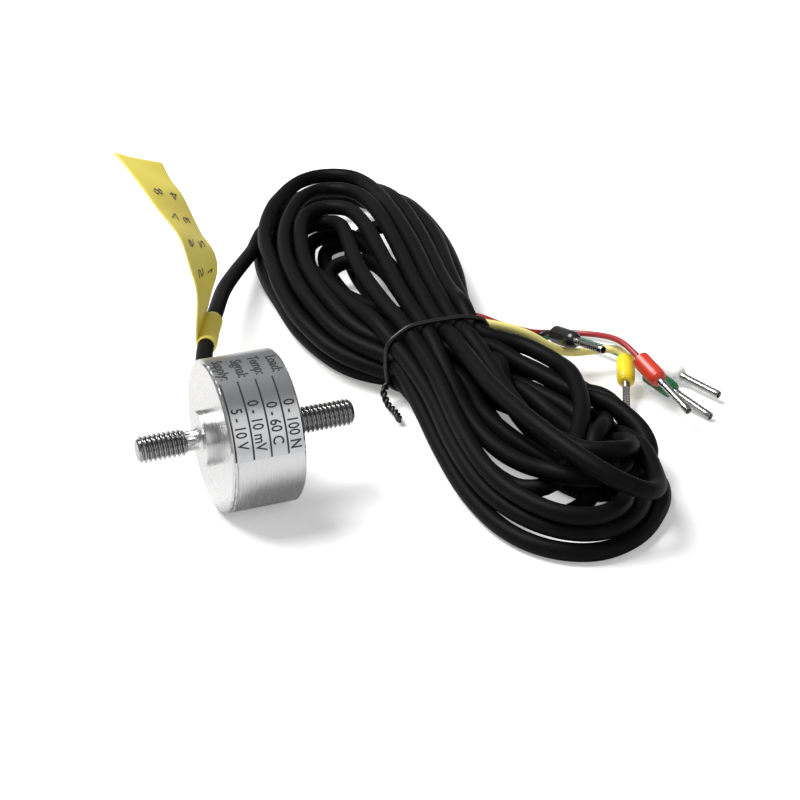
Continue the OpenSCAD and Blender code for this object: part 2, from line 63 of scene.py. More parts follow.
# The cable's route from the outlet to the hank, as in the model
LEAD = [(0, NOSE_Y, AXIS_Z), (0, NOSE_Y + 3, AXIS_Z), (1.8, 27, 11.1), (5.2, 35.5, 10.6), (9, 44.5, 9.6),
        (13.4, 55, 8), (18.5, 65, 6.2), (23, 73, 4.8), (27, 80, 3.8)]
# The rest of the first run, under the loops and down the right side to the tie
FIRST_RUN = [(31, 87, 4.2), (37, 93, 4.3), (45, 96, 4.5), (52, 94.5, 4.5), (57, 88, 3), (59.5, 78, 1.6),
             (59, 65, 1.5), (55.5, 50, 1.5), (50.5, 35, 1.6)]
# Where each strand passes the tie: x and z
TIE_SLOTS = {
    "a": (34.4, 11.0), "b": (37.2, 11.0), "c": (40.0, 11.0), "d": (42.8, 10.9), "e": (45.3, 9.4),
    "f": (46.5, 6.8), "g": (46.5, 4.0), "h": (44.6, 2.1), "i": (31.8, 8.9), "j": (31.4, 6.1),
    "k": (31.6, 3.3), "l": (34.2, 2.2), "m": (34.6, 8.2), "n": (34.3, 5.0), "o": (37.2, 2.2),
    "p": (40.0, 2.2), "q": (37.3, 8.2), "r": (40.2, 8.2), "s": (37.0, 5.0), "t": (39.8, 5.1),
    "u": (42.5, 5.2),
    "v": (43.0, 8.1),
}
# Half turns of the hank, each between two places at the tie: first those behind it, then those in front
HALF_TURNS = {
    "back_0": ("d", "k", [(44.5, 38, 11.3), (48, 55, 11.3), (51, 72, 10.5), (53.5, 88, 8.5), (53.5, 100, 6.8),
                          (48.5, 106, 6), (43, 103, 6), (37, 95.5, 6), (31, 85, 6.5), (27, 74, 7),
                          (25, 63, 7.2), (23.2, 53, 7), (22.6, 42, 6.6), (25, 31, 5)]),
    "back_1": ("c", "j", [(42.5, 38, 11.3), (45.5, 55, 11.2), (48, 70, 10.8), (49, 82, 10), (47.5, 91.5, 9),
                          (43.5, 94, 9), (38.5, 88, 9), (33, 79, 8.5), (29, 69, 8.5), (26.5, 58, 8.5),
                          (25.2, 45, 8.5), (26.5, 32, 7.5)]),
    "back_2": ("b", "m", [(38.5, 35, 11.3), (41, 50, 11.2), (43.5, 65, 11), (44.5, 77, 10.5), (43, 85.5, 10),
                          (39.5, 84.5, 9.5), (35, 77, 9.5), (31.5, 67, 9), (29, 56, 9.2), (28, 44, 9.5),
                          (29.5, 32, 9.2)]),
    "back_3": ("a", "i", [(34.5, 33, 11.2), (35.5, 46, 11), (37.8, 58, 10.5), (40.4, 68, 9.5),
                          (41.6, 75.5, 8.6), (39.4, 81, 7.4), (35, 81.6, 6.2), (31.8, 76, 5.6),
                          (31, 64, 6.4), (31, 48, 8), (30.2, 36, 9)]),
    "back_5": ("e", "n", [(46.5, 35, 10.3), (50, 50, 10), (53.2, 66, 9.5), (55.5, 82, 8.5), (56, 95, 5.5),
                          (52, 103, 3), (46, 103, 1.6), (39, 97, 1.5), (33.5, 87, 1.5), (30, 75, 1.5),
                          (28, 62, 1.5), (27.5, 48, 2), (29, 34, 3.5)]),
    "back_6": ("f", "o", [(48.5, 33, 8.8), (51.5, 47, 9), (56, 63, 8), (58.6, 80, 6.5), (59, 92, 4),
                          (56, 99, 2), (50, 100.5, 1.5), (42, 94, 1.5), (36.5, 84, 1.5), (33, 70, 1.5),
                          (31.5, 55, 1.5), (32, 38, 1.8)]),
    "back_7": ("g", "l", [(50, 36, 6), (54.5, 50, 6.5), (58.5, 66, 5.5), (60.5, 80, 4.5), (60.5, 92, 3.5),
                          (57, 102, 1.6), (51, 107, 1.5), (43, 105, 1.5), (35.5, 97, 1.5), (29.5, 85, 1.5),
                          (26, 72, 2), (24.5, 58, 2.5), (24, 44, 2.2), (27, 31, 1.6)]),
    "back_8": ("q", "u", [(36.2, 34, 5.5), (36, 46, 3.5), (36.4, 58, 2), (37.4, 70, 1.5), (40, 80, 1.5),
                          (44.5, 85, 1.5), (48.6, 80.5, 1.5), (49.2, 70, 1.5), (48, 58, 1.6), (46, 45, 2),
                          (43.8, 33, 3.5)]),
    "back_9": ("p", "t", [(36, 34, 2.6), (33.5, 46, 4), (33, 58, 4.2), (34, 70, 4.2), (37.5, 80, 4.2),
                          (42, 83, 4.2), (45.6, 78, 4.2), (45.8, 68, 4.2), (44.6, 56, 4.2), (43.4, 44, 4.2),
                          (42, 34, 4.5)]),
    "back_10": ("s", "v", [(38.8, 34, 3.2), (40, 46, 1.8), (41, 58, 1.5), (42, 69, 1.5), (45, 78.5, 1.6),
                           (49.5, 86, 3), (52.6, 81, 5.2), (52.4, 68, 6.2), (50, 52, 7), (46.5, 37, 8)]),
    "front_1": ("j", "h", [(30.9, 9.5, 5), (29.8, -2, 3.2), (29.2, -14, 1.8), (30.2, -25, 1.5),
                           (34, -32, 1.5),
                           (40, -35, 1.5), (46.5, -33, 1.5), (52, -27.5, 1.5), (56, -18, 1.5),
                           (57.5, -8, 1.5), (56, 3, 1.5), (52, 13, 1.6)]),
    "front_2": ("i", "f", [(32, 8, 8), (30.2, -6, 6), (30, -17, 4.6), (32, -26, 4.2), (36, -32, 4.1),
                           (41.5, -34, 4.2), (47.5, -31, 4.2), (52.5, -24.5, 4.2), (55.5, -14, 4.2),
                           (56, -3, 4.2), (54.5, 7, 4.5), (51, 15.5, 5.5)]),
    "front_3": ("a", "l", [(33, 7, 10), (31, -8, 8.2), (31, -20, 7), (34, -29.5, 6.8), (39, -34, 6.7),
                           (44.5, -33, 6.5), (49, -28.5, 5.8), (51.5, -20, 4.4), (52.5, -9, 1.8),
                           (51, 3, 1.5), (46, 13, 1.6), (39.5, 17, 1.7)]),
    "front_4": ("b", "q", [(35.8, 9, 9), (34.5, -1, 7.2), (35.1, -10, 6.3), (37, -19, 7), (39.8, -26, 8),
                           (43.5, -30.5, 8), (48, -29.5, 7), (50.5, -23, 6.5), (50.5, -14, 6), (49, -2, 5),
                           (46.5, 9, 6)]),
    "front_5": ("c", "o", [(38.7, 10, 12.3), (37.3, -4, 13.2), (37.8, -16, 13.6), (39.8, -26, 13),
                           (43, -33, 11.5), (47.5, -35.5, 9), (51.5, -31.5, 7), (54, -23, 5.5),
                           (55.5, -13, 5), (54.5, 0, 1.6), (50, 9, 1.5), (43.5, 15.5, 1.6)]),
    "front_6": ("d", "n", [(43, 11, 10), (41.5, 0, 9.7), (40.5, -11, 10), (42, -21, 10.3), (45.5, -28, 9),
                           (49.5, -29, 7.5), (52, -22, 6.3), (53.2, -12, 4), (50.5, 0, 4), (45, 10, 4.2),
                           (38.5, 16, 4.6)]),
    "front_a": ("m", "e", [(34, 8, 6), (32.8, -5, 5), (33, -15, 4.4), (35.5, -22.5, 4.5), (40, -24, 5.2),
                           (44.2, -20, 6.8), (47.8, -13.5, 8.5), (51, -7, 9.3), (53.4, 1, 9), (53.7, 9, 8.6),
                           (51, 16, 8.8)]),
    "front_b": ("k", "g", [(33, 8, 2.2), (33.3, -5, 1.6), (33.5, -16, 1.5), (36.5, -24, 1.6), (42, -26, 3),
                           (47, -21.5, 5.5), (51.5, -15.5, 6.3), (55.4, -8.5, 4.4), (58.6, 0.3, 3),
                           (60.2, 7.8, 2), (59, 13.2, 2), (54.5, 17.5, 2.6)]),
    "front_7": ("u", "p", [(42.5, 10, 3.5), (41, 0, 2.5), (42, -9, 1.8), (44, -17, 1.5), (47.5, -24, 1.5),
                           (52.5, -24.5, 1.7), (54.5, -17.5, 2), (53.5, -8, 2), (51.5, 2, 1.8),
                           (47, 12, 1.6)]),
    "front_8": ("t", "s", [(40, 10, 5.5), (38.2, 2, 6), (38.6, -6, 6.2), (40.8, -14, 6), (44, -21.5, 6),
                           (48.5, -26.5, 5.5), (53, -24, 5), (54.5, -15, 4.5), (53.2, -4, 4.4),
                           (49.5, 6, 4.4), (43, 15, 4.8)]),
    "front_9": ("v", "r", [(43.5, 10, 6.5), (43.3, 1, 4.8), (44, -7, 4.3), (45.4, -15, 4.3),
                           (48.5, -22.5, 4.5), (52.6, -24.5, 4.8), (55.4, -19, 5), (55.6, -10, 5.2),
                           (54.2, -2, 6), (50.6, 7, 7.2), (46, 15, 8)]),
}
HANK_ORDER = ["front_1", "back_1", "front_5", "back_6", "front_2", "back_3", "front_3", "back_7", "front_b",
              "back_0", "front_6", "back_5", "front_a", "back_2", "front_4", "back_8", "front_7", "back_9",
              "front_8", "back_10", "front_9"]
# The last run makes the small loop in the eye, and its cores leave the hank at the tie
LAST_RUN = [(40.5, 35, 8.3), (42, 48, 7.5), (43.5, 58, 6), (43, 66, 5), (39.5, 72, 4.5), (35.5, 70, 4),
            (33.6, 62, 3.6), (33.8, 53, 3.8), (35.8, 44, 5), (38.5, 37, 6.8), (41, 33, 8), (43.6, 29, 8.8),
            (46.4, 25.2, 9)]
CORES_LEN = 9.0
MIN_BEND = 5.0

# The wires, as in the model: start in the pocket, way, and the ferrule's back face and direction
POCKET_AT = np.array([46.4, 25.2, 0.0])
POCKET_TURN = math.radians(-40)
WIRE_OUT = np.array([math.cos(POCKET_TURN), math.sin(POCKET_TURN), 0.0])
WIRE_SIDE = np.array([-math.sin(POCKET_TURN), math.cos(POCKET_TURN), 0.0])
WIRE_STUB = 1.6
WIRES = {
    "yellow": dict(d=1.4, aside=-1.7, height=10.4, at=(68.7, 12.8, 4.2), to=(-5.9, -12.3, -3.2),
                   way=[(51, 21.6, 9.4), (55, 20, 7.8), (58, 19.2, 5.6), (61.5, 18.8, 4), (65.4, 18.6, 3.8),
                        (68.6, 16.8, 4.4)]),
    "red": dict(d=1.0, aside=0.1, height=10.7, at=(68.8, 8, 6.4), to=(1.5, -13.6, -2.9),
                way=[(50.2, 23.4, 9.4), (54.5, 24, 7.3), (58, 25.4, 5.4), (62, 26, 4.4),
                     (66.6, 21.8, 5.2), (68.2, 14.8, 7)]),
    "green": dict(d=1.0, aside=-0.1, height=9, at=(71, 9, 3), to=(4.2, -13.1, -2.2),
                  way=[(51, 23.2, 8.2), (55.5, 25, 4.8), (61, 28, 2.8), (66.5, 27, 2), (70.4, 20.8, 1.8),
                       (71.4, 14.6, 2.6)]),
    "white": dict(d=1.0, aside=1.7, height=9.9, at=(75, 14, 2), to=(4.4, -13.2, -0.5),
                  way=[(50.6, 24.4, 8.2), (56, 27, 4.6), (61, 29.4, 2.6), (67, 29.6, 1.4), (72.6, 25.4, 1.2),
                       (74.6, 19.4, 1.8)]),
    "black": dict(d=1.0, aside=1.3, height=8, at=(60.6, 22.2, 6), to=(1.7, -13.5, 3),
                  way=[(50.4, 21.8, 6.8), (54, 22, 5), (57, 24.6, 4.2), (59.8, 25.8, 4.8)]),
}
WIRE_IN_FERRULE = 4.0
WIRE_EASE = 12

# Ferrules
COLLAR_LEN = 6.0
PIN_D = 1.3
PIN_LEN = 8.0
PIN_WALL = 0.15

# The tape flag on the cable, as in the model: its middle line and the way across it
FLAG_W = 11.0
FLAG_T = 0.3
FLAG_WRAP = [(2.8, 29.4, 11), (4, 32.4, 10.8), (5.2, 35.5, 10.6), (7.1, 40, 10.1)]
FLAG_MIDDLE = [(3.6, 35.2, 10.6), (3.8, 35.3, 12.1), (4.4, 35.4, 15.6), (5.1, 36, 19.4), (4.8, 37.5, 23),
               (3.8, 39.8, 26.1), (2.5, 42.4, 28.9), (1.4, 45.1, 31.4), (0.1, 48.2, 33.4), (-0.9, 51.5, 35.2)]
FLAG_ACROSS = [(4.3, 10.6, -0.9), (5, 9.8, -1), (6, 9, -2), (6.3, 8.5, -2.8), (6, 8.4, -3.7),
               (6.5, 7.8, -4.1),
               (7.1, 7.1, -4.3), (7.8, 6.3, -4.4), (8.3, 5.5, -4.7), (8.9, 4.8, -4.8)]
# Two rows of counting figures in pen on the flag: how far up it they start, how far across, height
PEN_ROWS = [("1 2 3 4", 9.0, 2.0, 2.5), ("5 6 7 8", 9.6, -2.1, 2.5)]
PEN_D = 0.26

# The label: its radius, and the ruled columns with a heading and a plain range in each
LABEL_R = 11.35
RULES = (-4.9, -2.3, 0.3, 2.8)
RULE_ANGLES = (7.6, 67.5)
RULE_W = 0.26
COLUMNS = [("Supply:", "5 - 10 V", 58, 16), ("Signal:", "0 - 10 mV", 61, 13), ("Temp:", "0 - 60 C", 58, 16),
           ("Load:", "0 - 100 N", 65, 11)]
HEADING_ENDS = (106, 71)
LETTER_H = 1.6
LETTER_BOLD = 0.03
PRINT_T = 0.03


def unit(vector):
    vector = np.asarray(vector, float)
    return vector / np.linalg.norm(vector)


def smooth_line(points, steps=8):
    """A smooth open line through the points, which leaves and arrives straight."""
    p = np.asarray(points, float)
    q = np.vstack([2 * p[0] - p[1], p, 2 * p[-1] - p[-2]])
    line = []
    for a, b, c, d in zip(q, q[1:], q[2:], q[3:]):
        for t in np.arange(steps) / steps:
            line.append((2 * b + (c - a) * t + (2 * a - 5 * b + 4 * c - d) * t ** 2
                         + (3 * b - a - 3 * c + d) * t ** 3) / 2)
    return np.array(line + [p[-1]])


def evenly(line, spacing):
    """The line again, with its points the same distance apart."""
    gone = np.concatenate([[0], np.cumsum(np.linalg.norm(np.diff(line, axis=0), axis=1))])
    places = np.linspace(0, gone[-1], max(2, round(gone[-1] / spacing) + 1))
    return np.stack([np.interp(places, gone, line[:, k]) for k in range(3)], 1)


def length_of(line):
    return float(np.linalg.norm(np.diff(line, axis=0), axis=1).sum())


# Camera
def add_camera():
    azimuth, elevation = math.radians(CAMERA_AZIMUTH), math.radians(CAMERA_ELEVATION)
    back = Vector((math.cos(elevation) * math.sin(azimuth), -math.cos(elevation) * math.cos(azimuth),
                   math.sin(elevation)))
    data = bpy.data.cameras.new("camera")
    data.lens = CAMERA_LENS
    data.sensor_width = 36
    data.clip_start = 0.01
    camera = bpy.data.objects.new("camera", data)
    camera.location = (Vector(CAMERA_TARGET) + back * CAMERA_DISTANCE) * MM
    camera.rotation_mode = "QUATERNION"
    camera.rotation_quaternion = (-back).to_track_quat("-Z", "Y")
    bpy.context.scene.collection.objects.link(camera)
    bpy.context.scene.camera = camera


add_camera()


# The run of the cable
def hank_route():
    """The points of the whole cable, from the outlet through every half turn to the cores' end."""
    def at_tie(slot):
        x, z = TIE_SLOTS[slot]
        return (x, WAIST_Y, z)

    here = "h"
    points = LEAD + FIRST_RUN + [at_tie(here)]
    for name in HANK_ORDER:
        start, end, way = HALF_TURNS[name]
        if start != here:
            start, end, way = end, start, way[::-1]
        points = points + way + [at_tie(end)]
        here = end
    return points + LAST_RUN


def close_pairs(line, reach, apart):
    """Pairs of points nearer than reach that are at least so many points apart along the line."""
    square = (line ** 2).sum(1)
    distance = square[:, None] + square[None] - 2 * line @ line.T
    i, j = np.nonzero(distance < reach ** 2)
    keep = j - i >= apart
    return i[keep], j[keep]


def hold_in_tie(line, radius):
    """Keeps the strands inside the tie's rounded section where they pass it."""
    near = np.abs(line[:, 1] - WAIST_Y) < 2.5
    low, high, corner = np.array([30.0, 0.9]) + radius, np.array([48.0, 12.5]) - radius, 4.0 - radius
    place = line[near][:, [0, 2]]
    place = np.clip(place, low, high)
    core = np.clip(place, low + corner, high - corner)
    out = place - core
    far = np.maximum(np.linalg.norm(out, axis=1), 1e-9)
    place = core + out * np.minimum(1, corner / far)[:, None]
    held = line[near]
    held[:, 0], held[:, 2] = place[:, 0], place[:, 1]
    line[near] = held


def ease_bends(line, spacing, passes):
    """Rounds off the places where the line bends more tightly than the cable does."""
    for _ in range(passes):
        middle = (line[:-2] + line[2:]) / 2 - line[1:-1]
        bend = 2 * np.linalg.norm(middle, axis=1) / spacing ** 2
        tight = np.clip(bend * MIN_BEND - 1, 0, 1)
        wide = tight.copy()
        for shift in (1, 2):
            wide[shift:] = np.maximum(wide[shift:], tight[:-shift])
            wide[:-shift] = np.maximum(wide[:-shift], tight[shift:])
        line[1:-1] += 0.6 * wide[:, None] * middle


def pushed(line, diameter, i, j):
    """The line with its pairs of points that are nearer than a diameter moved a little apart."""
    gap = line[j] - line[i]
    distance = np.maximum(np.linalg.norm(gap, axis=1), 1e-6)
    push = np.maximum(diameter - distance, 0)[:, None] * gap / distance[:, None] * 0.35
    shift = np.stack([np.bincount(j, push[:, k], len(line)) - np.bincount(i, push[:, k], len(line))
                      for k in range(3)], 1)
    most = np.linalg.norm(shift, axis=1, keepdims=True)
    return line + shift * np.minimum(1, 0.6 / np.maximum(most, 1e-9))


def settle(line, diameter, spacing, rounds):
    """Pushes strands apart that run through each other, while each keeps near its drawn way."""
    drawn, line = line, line.copy()
    apart = int(2.4 * diameter / spacing)
    fixed = int(length_of(smooth_line(LEAD)) / spacing)
    for turn in range(rounds):
        if turn % 12 == 0:
            i, j = close_pairs(line, diameter + 2.5, apart)
        line = pushed(line, diameter, i, j)
        moved = line - drawn
        moved[1:-1] += 0.35 * (moved[:-2] + moved[2:] - 2 * moved[1:-1]) / 2 * 1.6
        line = drawn + moved * 0.98
        line[1:-1] += 0.12 * ((line[:-2] + line[2:]) / 2 - line[1:-1])
        ease_bends(line, spacing, 1)
        hold_in_tie(line, diameter / 2)
        line[:, 2] = np.maximum(line[:, 2], diameter / 2)
        line[:fixed] = drawn[:fixed]
    return rounded_off(line, diameter, spacing)


def rounded_off(line, diameter, spacing):
    """Spaces the points evenly again and eases what still bends too tightly, with the strands kept apart."""
    for _ in range(3):
        line = evenly(line, spacing)
        drawn = line.copy()
        fixed = int(length_of(smooth_line(LEAD)) / spacing)
        i, j = close_pairs(line, diameter + 1.5, int(2.4 * diameter / spacing))
        for _ in range(12):
            moved = pushed(line, diameter, i, j) - drawn
            moved[1:-1] += 0.56 * ((moved[:-2] + moved[2:]) / 2 - moved[1:-1])
            line = drawn + moved
            ease_bends(line, spacing, 1)
            hold_in_tie(line, diameter / 2)
            line[:, 2] = np.maximum(line[:, 2], diameter / 2)
            line[:fixed] = drawn[:fixed]
        ease_bends(line, spacing, 6)
        line[:, 2] = np.maximum(line[:, 2], diameter / 2)
        line[:fixed] = drawn[:fixed]
    return line


def swept(name, line, radius, sides, caps=True):
    """A round mesh tube in mm along a line, closed at both ends. radius is a number or one for each point."""
    line = np.asarray(line, float)
    radii = np.broadcast_to(np.asarray(radius, float), (len(line),))
    heading = np.gradient(line, axis=0)
    heading /= np.linalg.norm(heading, axis=1, keepdims=True)
    side = np.cross(heading[0], (0, 0, 1))
    if np.linalg.norm(side) < 0.1:
        side = np.cross(heading[0], (0, 1, 0))
    turns = np.linspace(0, 2 * math.pi, sides, endpoint=False)
    points = []
    for place, ahead, r in zip(line, heading, radii):
        side = unit(side - ahead * (side @ ahead))
        up = np.cross(ahead, side)
        points += [place + r * (math.cos(a) * side + math.sin(a) * up) for a in turns]
    faces = [(i * sides + k, i * sides + (k + 1) % sides,
              (i + 1) * sides + (k + 1) % sides, (i + 1) * sides + k)
             for i in range(len(line) - 1) for k in range(sides)]
    if caps:
        last = (len(line) - 1) * sides
        faces += [tuple(range(sides - 1, -1, -1)), tuple(range(last, last + sides))]
    return add_mesh(name, points, faces)


def add_mesh(name, points, faces):
    mesh = bpy.data.meshes.new(name)
    mesh.from_pydata([tuple(np.asarray(p) * MM) for p in points], [], faces)
    mesh.update()
    piece = bpy.data.objects.new(name, mesh)
    bpy.context.scene.collection.objects.link(piece)
    only(piece)
    bpy.ops.object.mode_set(mode="EDIT")
    bpy.ops.mesh.select_all(action="SELECT")
    bpy.ops.mesh.normals_make_consistent(inside=False)
    bpy.ops.object.mode_set(mode="OBJECT")
    bpy.ops.object.shade_smooth_by_angle(angle=math.radians(40))
    return piece


def only(piece):
    """Selects one object and makes it the active one."""
    bpy.ops.object.select_all(action="DESELECT")
    piece.select_set(True)
    bpy.context.view_layer.objects.active = piece


SPACING = 1.6
route = evenly(smooth_line(hank_route()), SPACING)
cable_line = settle(route, CABLE_D, SPACING, 260)
cores_at = len(cable_line) - round(CORES_LEN / SPACING)
jacket_line = evenly(smooth_line(cable_line[:cores_at], 4), 1.1)
cable = swept("cable", jacket_line, CABLE_D / 2, 14)


def wire_line(wire):
    """A wire's way: with the cores out of the jacket, through the pocket and on to its ferrule."""
    start = POCKET_AT + WIRE_SIDE * wire["aside"] + np.array([0, 0, wire["height"]])
    at, to = np.array(wire["at"], float), unit(wire["to"])
    jacket_end = cable_line[cores_at]
    middle = cable_line[(cores_at + len(cable_line)) // 2]
    bunch = POCKET_AT + np.array([0, 0, 9.5])
    spread = (start - bunch) * 0.3
    points = [jacket_end + spread * 0.8 - unit(middle - jacket_end) * 0.4, middle + spread, start,
              start + WIRE_OUT * WIRE_STUB, *wire["way"], at - to * WIRE_STUB, at, at + to * WIRE_IN_FERRULE]
    line = evenly(smooth_line(points), 0.5)
    for _ in range(WIRE_EASE):
        line[1:-1] = (line[:-2] + 2 * line[1:-1] + line[2:]) / 4
    return line


wires = {}
for colour, wire in WIRES.items():
    line = wire_line(wire)
    piece = swept("wire_%s_lead" % colour, line, wire["d"] / 2, 12)
    wires[colour] = (piece, line)
    print("wire", colour, round(length_of(line), 1))
print("cable", round(length_of(jacket_line) / 1000, 3), "m")


# Modelling by hand, in mm
def formed(name, across, along, place, tube=False):
    """A grid with each point moved to place(u, v), both from 0 to 1. A tube meets itself at u = 1."""
    bpy.ops.object.select_all(action="DESELECT")
    bpy.ops.mesh.primitive_grid_add(x_subdivisions=across, y_subdivisions=along, size=1)
    piece = bpy.context.active_object
    piece.name = name
    for vertex in piece.data.vertices:
        vertex.co = Vector(place(vertex.co.x + 0.5, vertex.co.y + 0.5)) * MM
    bpy.ops.object.mode_set(mode="EDIT")
    bpy.ops.mesh.select_all(action="SELECT")
    if tube:
        bpy.ops.mesh.remove_doubles(threshold=1e-6)
        bpy.ops.mesh.select_all(action="SELECT")
        bpy.ops.mesh.fill_holes(sides=0)
        bpy.ops.mesh.select_all(action="SELECT")
    bpy.ops.mesh.normals_make_consistent(inside=False)
    bpy.ops.object.mode_set(mode="OBJECT")
    return piece


def smooth(piece, angle=35):
    only(piece)
    bpy.ops.object.shade_smooth_by_angle(angle=math.radians(angle))
    return piece


def finish(piece, kind, **settings):
    """Adds a modifier and applies it."""
    only(piece)
    modifier = piece.modifiers.new(kind.lower(), kind)
    for key, value in settings.items():
        setattr(modifier, key, value)
    bpy.ops.object.modifier_apply(modifier=modifier.name)
    return piece


def joined(name, pieces):
    only(pieces[0])
    for piece in pieces[1:]:
        piece.select_set(True)
    bpy.ops.object.join()
    pieces[0].name = name
    return pieces[0]


def between(places, share):
    """The place at a share of the way along a list of places that are evenly apart."""
    at = min(max(share, 0), 1) * (len(places) - 1)
    low = min(int(at), len(places) - 2)
    return places[low] + (places[low + 1] - places[low]) * (at - low)


# The flag: a folded strip of tape that stands on its own wrap
flag_line = evenly(smooth_line(FLAG_MIDDLE), 0.8)
flag_ways = np.array([unit(way) for way in evenly(smooth_line(FLAG_ACROSS), 0.05)])
flag_len = length_of(flag_line)


def on_flag(along, aside, lift=0.0):
    """A place on the flag in mm: up from its wrap, across from its middle, and off its front face."""
    share = along / flag_len
    step = 0.01
    ahead = unit(between(flag_line, min(share + step, 1)) - between(flag_line, max(share - step, 0)))
    across = unit(between(flag_ways, share))
    front = np.cross(across, ahead)
    curl = 0.12 * math.sin(along * 0.55 + aside * 0.3) + 0.004 * aside * aside * math.sin(along * 0.21)
    return between(flag_line, share) + across * aside + unit(front) * (lift + curl * min(1, along / 6))


def flag():
    strip = formed("tape_flag", 16, 64, lambda u, v: on_flag(v * flag_len, (u - 0.5) * FLAG_W))
    finish(strip, "SOLIDIFY", thickness=FLAG_T * MM, offset=0)
    finish(strip, "BEVEL", width=0.06 * MM, segments=2, limit_method="ANGLE")
    sleeve_line = evenly(smooth_line(FLAG_WRAP), 0.4)
    radii = np.full(len(sleeve_line), CABLE_D / 2 + FLAG_T)
    radii[[0, -1]] -= 0.2
    radii[[1, -2]] -= 0.04
    sleeve = swept("tape_sleeve", sleeve_line, radii, 40)
    return smooth(joined("tape_flag", [strip, sleeve]))


# Figures drawn by pen, as points on a square of side 1
PEN_STROKES = {
    "0": [(0.5, 1), (0.12, 0.7), (0.1, 0.3), (0.45, 0), (0.8, 0.3), (0.82, 0.75), (0.5, 1)],
    "1": [(0.3, 0.75), (0.55, 1), (0.5, 0.5), (0.45, 0)],
    "2": [(0.1, 0.75), (0.4, 1), (0.75, 0.8), (0.5, 0.35), (0.1, 0), (0.8, 0.05)],
    "3": [(0.15, 0.9), (0.6, 1), (0.7, 0.7), (0.35, 0.55), (0.75, 0.35), (0.55, 0), (0.1, 0.1)],
    "4": [(0.6, 0), (0.65, 0.6), (0.6, 1), (0.3, 0.6), (0.05, 0.35), (0.85, 0.38)],
    "5": [(0.8, 1), (0.3, 0.95), (0.2, 0.55), (0.65, 0.5), (0.75, 0.15), (0.15, 0)],
    "6": [(0.7, 1), (0.25, 0.65), (0.15, 0.2), (0.5, 0), (0.75, 0.3), (0.2, 0.4)],
    "7": [(0.1, 0.95), (0.8, 1), (0.55, 0.5), (0.35, 0)],
    "8": [(0.7, 0.85), (0.4, 1), (0.2, 0.75), (0.7, 0.3), (0.45, 0), (0.15, 0.25), (0.75, 0.85)],
}


def pen_figures():
    strokes = []
    for words, start, aside, height in PEN_ROWS:
        along = start
        for sign in words:
            if sign in PEN_STROKES:
                places = [on_flag(along + x * height * 0.7, aside + (y - 0.5) * height * 0.8, FLAG_T / 2)
                          for x, y in smooth_line([(*p, 0) for p in PEN_STROKES[sign]], 4)[:, :2]]
                strokes.append(swept("stroke", places, PEN_D / 2, 6))
            along += height * 0.95
    return joined("pen_figures", strokes)


# The tie: a thin round wire that follows the strands it holds, with its ends twisted together
TIE_END = [(29.6, 20.8, 4.4), (29, 19.6, 2.6), (28.9, 17.4, 1.4), (29.2, 15, 1.1), (28.9, 12.4, 1.1)]
TIE_WIRE_D = 0.62
TWIST_PITCH = 2.2


def tie():
    line_x, y = cable_line[:, 0], cable_line[:, 1]
    cross = [k for k in range(cores_at) if (y[k] - WAIST_Y) * (y[k + 1] - WAIST_Y) <= 0 and line_x[k] > 25]
    held = []
    for k in cross:
        share = (WAIST_Y - y[k]) / (y[k + 1] - y[k])
        held.append((cable_line[k] + (cable_line[k + 1] - cable_line[k]) * share)[[0, 2]])
    held = np.array(held)
    off = CABLE_D / 2 + TIE_D / 2
    loop = []
    for angle in np.linspace(math.radians(200), math.radians(560), 90):
        way = np.array([math.cos(angle), math.sin(angle)])
        x, z = held[(held @ way).argmax()] + way * off
        loop.append((x, WAIST_Y, max(z, TIE_D / 2 + 0.06)))
    loop = evenly(np.array(loop), 0.5)
    for _ in range(4):
        loop[1:-1] = (loop[:-2] + 2 * loop[1:-1] + loop[2:]) / 4
    ring = swept("tie_ring", loop, TIE_D / 2, 14)
    tail = evenly(smooth_line([loop[0], *TIE_END[1:]]), 0.12)
    gone = np.arange(len(tail)) * 0.12
    ahead = np.gradient(tail, axis=0)
    side = np.array([unit(np.cross(way, (0.3, 0, 1))) for way in ahead])
    up = np.array([unit(np.cross(way, across)) for way, across in zip(ahead, side)])
    pieces = [ring]
    for turn in (0, math.pi):
        phase = (2 * math.pi * gone / TWIST_PITCH + turn)[:, None]
        lay = tail + (np.cos(phase) * side + np.sin(phase) * up) * TIE_WIRE_D * 0.46
        lay[:, 2] = np.maximum(lay[:, 2], TIE_WIRE_D / 2)
        pieces.append(swept("tie_twist", lay, TIE_WIRE_D / 2, 10))
    return joined("cable_tie", pieces)


# Threads: a rod with a helical groove, in place of the plain stud
def threaded(name, neck, end, relief=None):
    """A threaded rod along the axis, chamfered at its end; relief is the thinner radius at its neck."""
    way = 1 if end > neck else -1
    crest = STUD_D / 2
    count = round(abs(end - neck) / THREAD_PITCH * 12)

    def place(u, v):
        x = neck + (end - neck) * v
        turn = (x / THREAD_PITCH - u) % 1
        groove = min(1, max(0, 1.45 * abs(turn - 0.5) * 2 - 0.25))
        radius = crest - THREAD_DEPTH * groove
        to_end = abs(end - x)
        radius = min(radius, crest - 0.55 + to_end)
        if relief:
            from_neck = abs(x - neck)
            radius = min(radius, relief + 0.9 * from_neck)
        angle = 2 * math.pi * u
        return x, radius * math.cos(angle), AXIS_Z + radius * math.sin(angle)

    return formed(name, 48, count, place, tube=True)


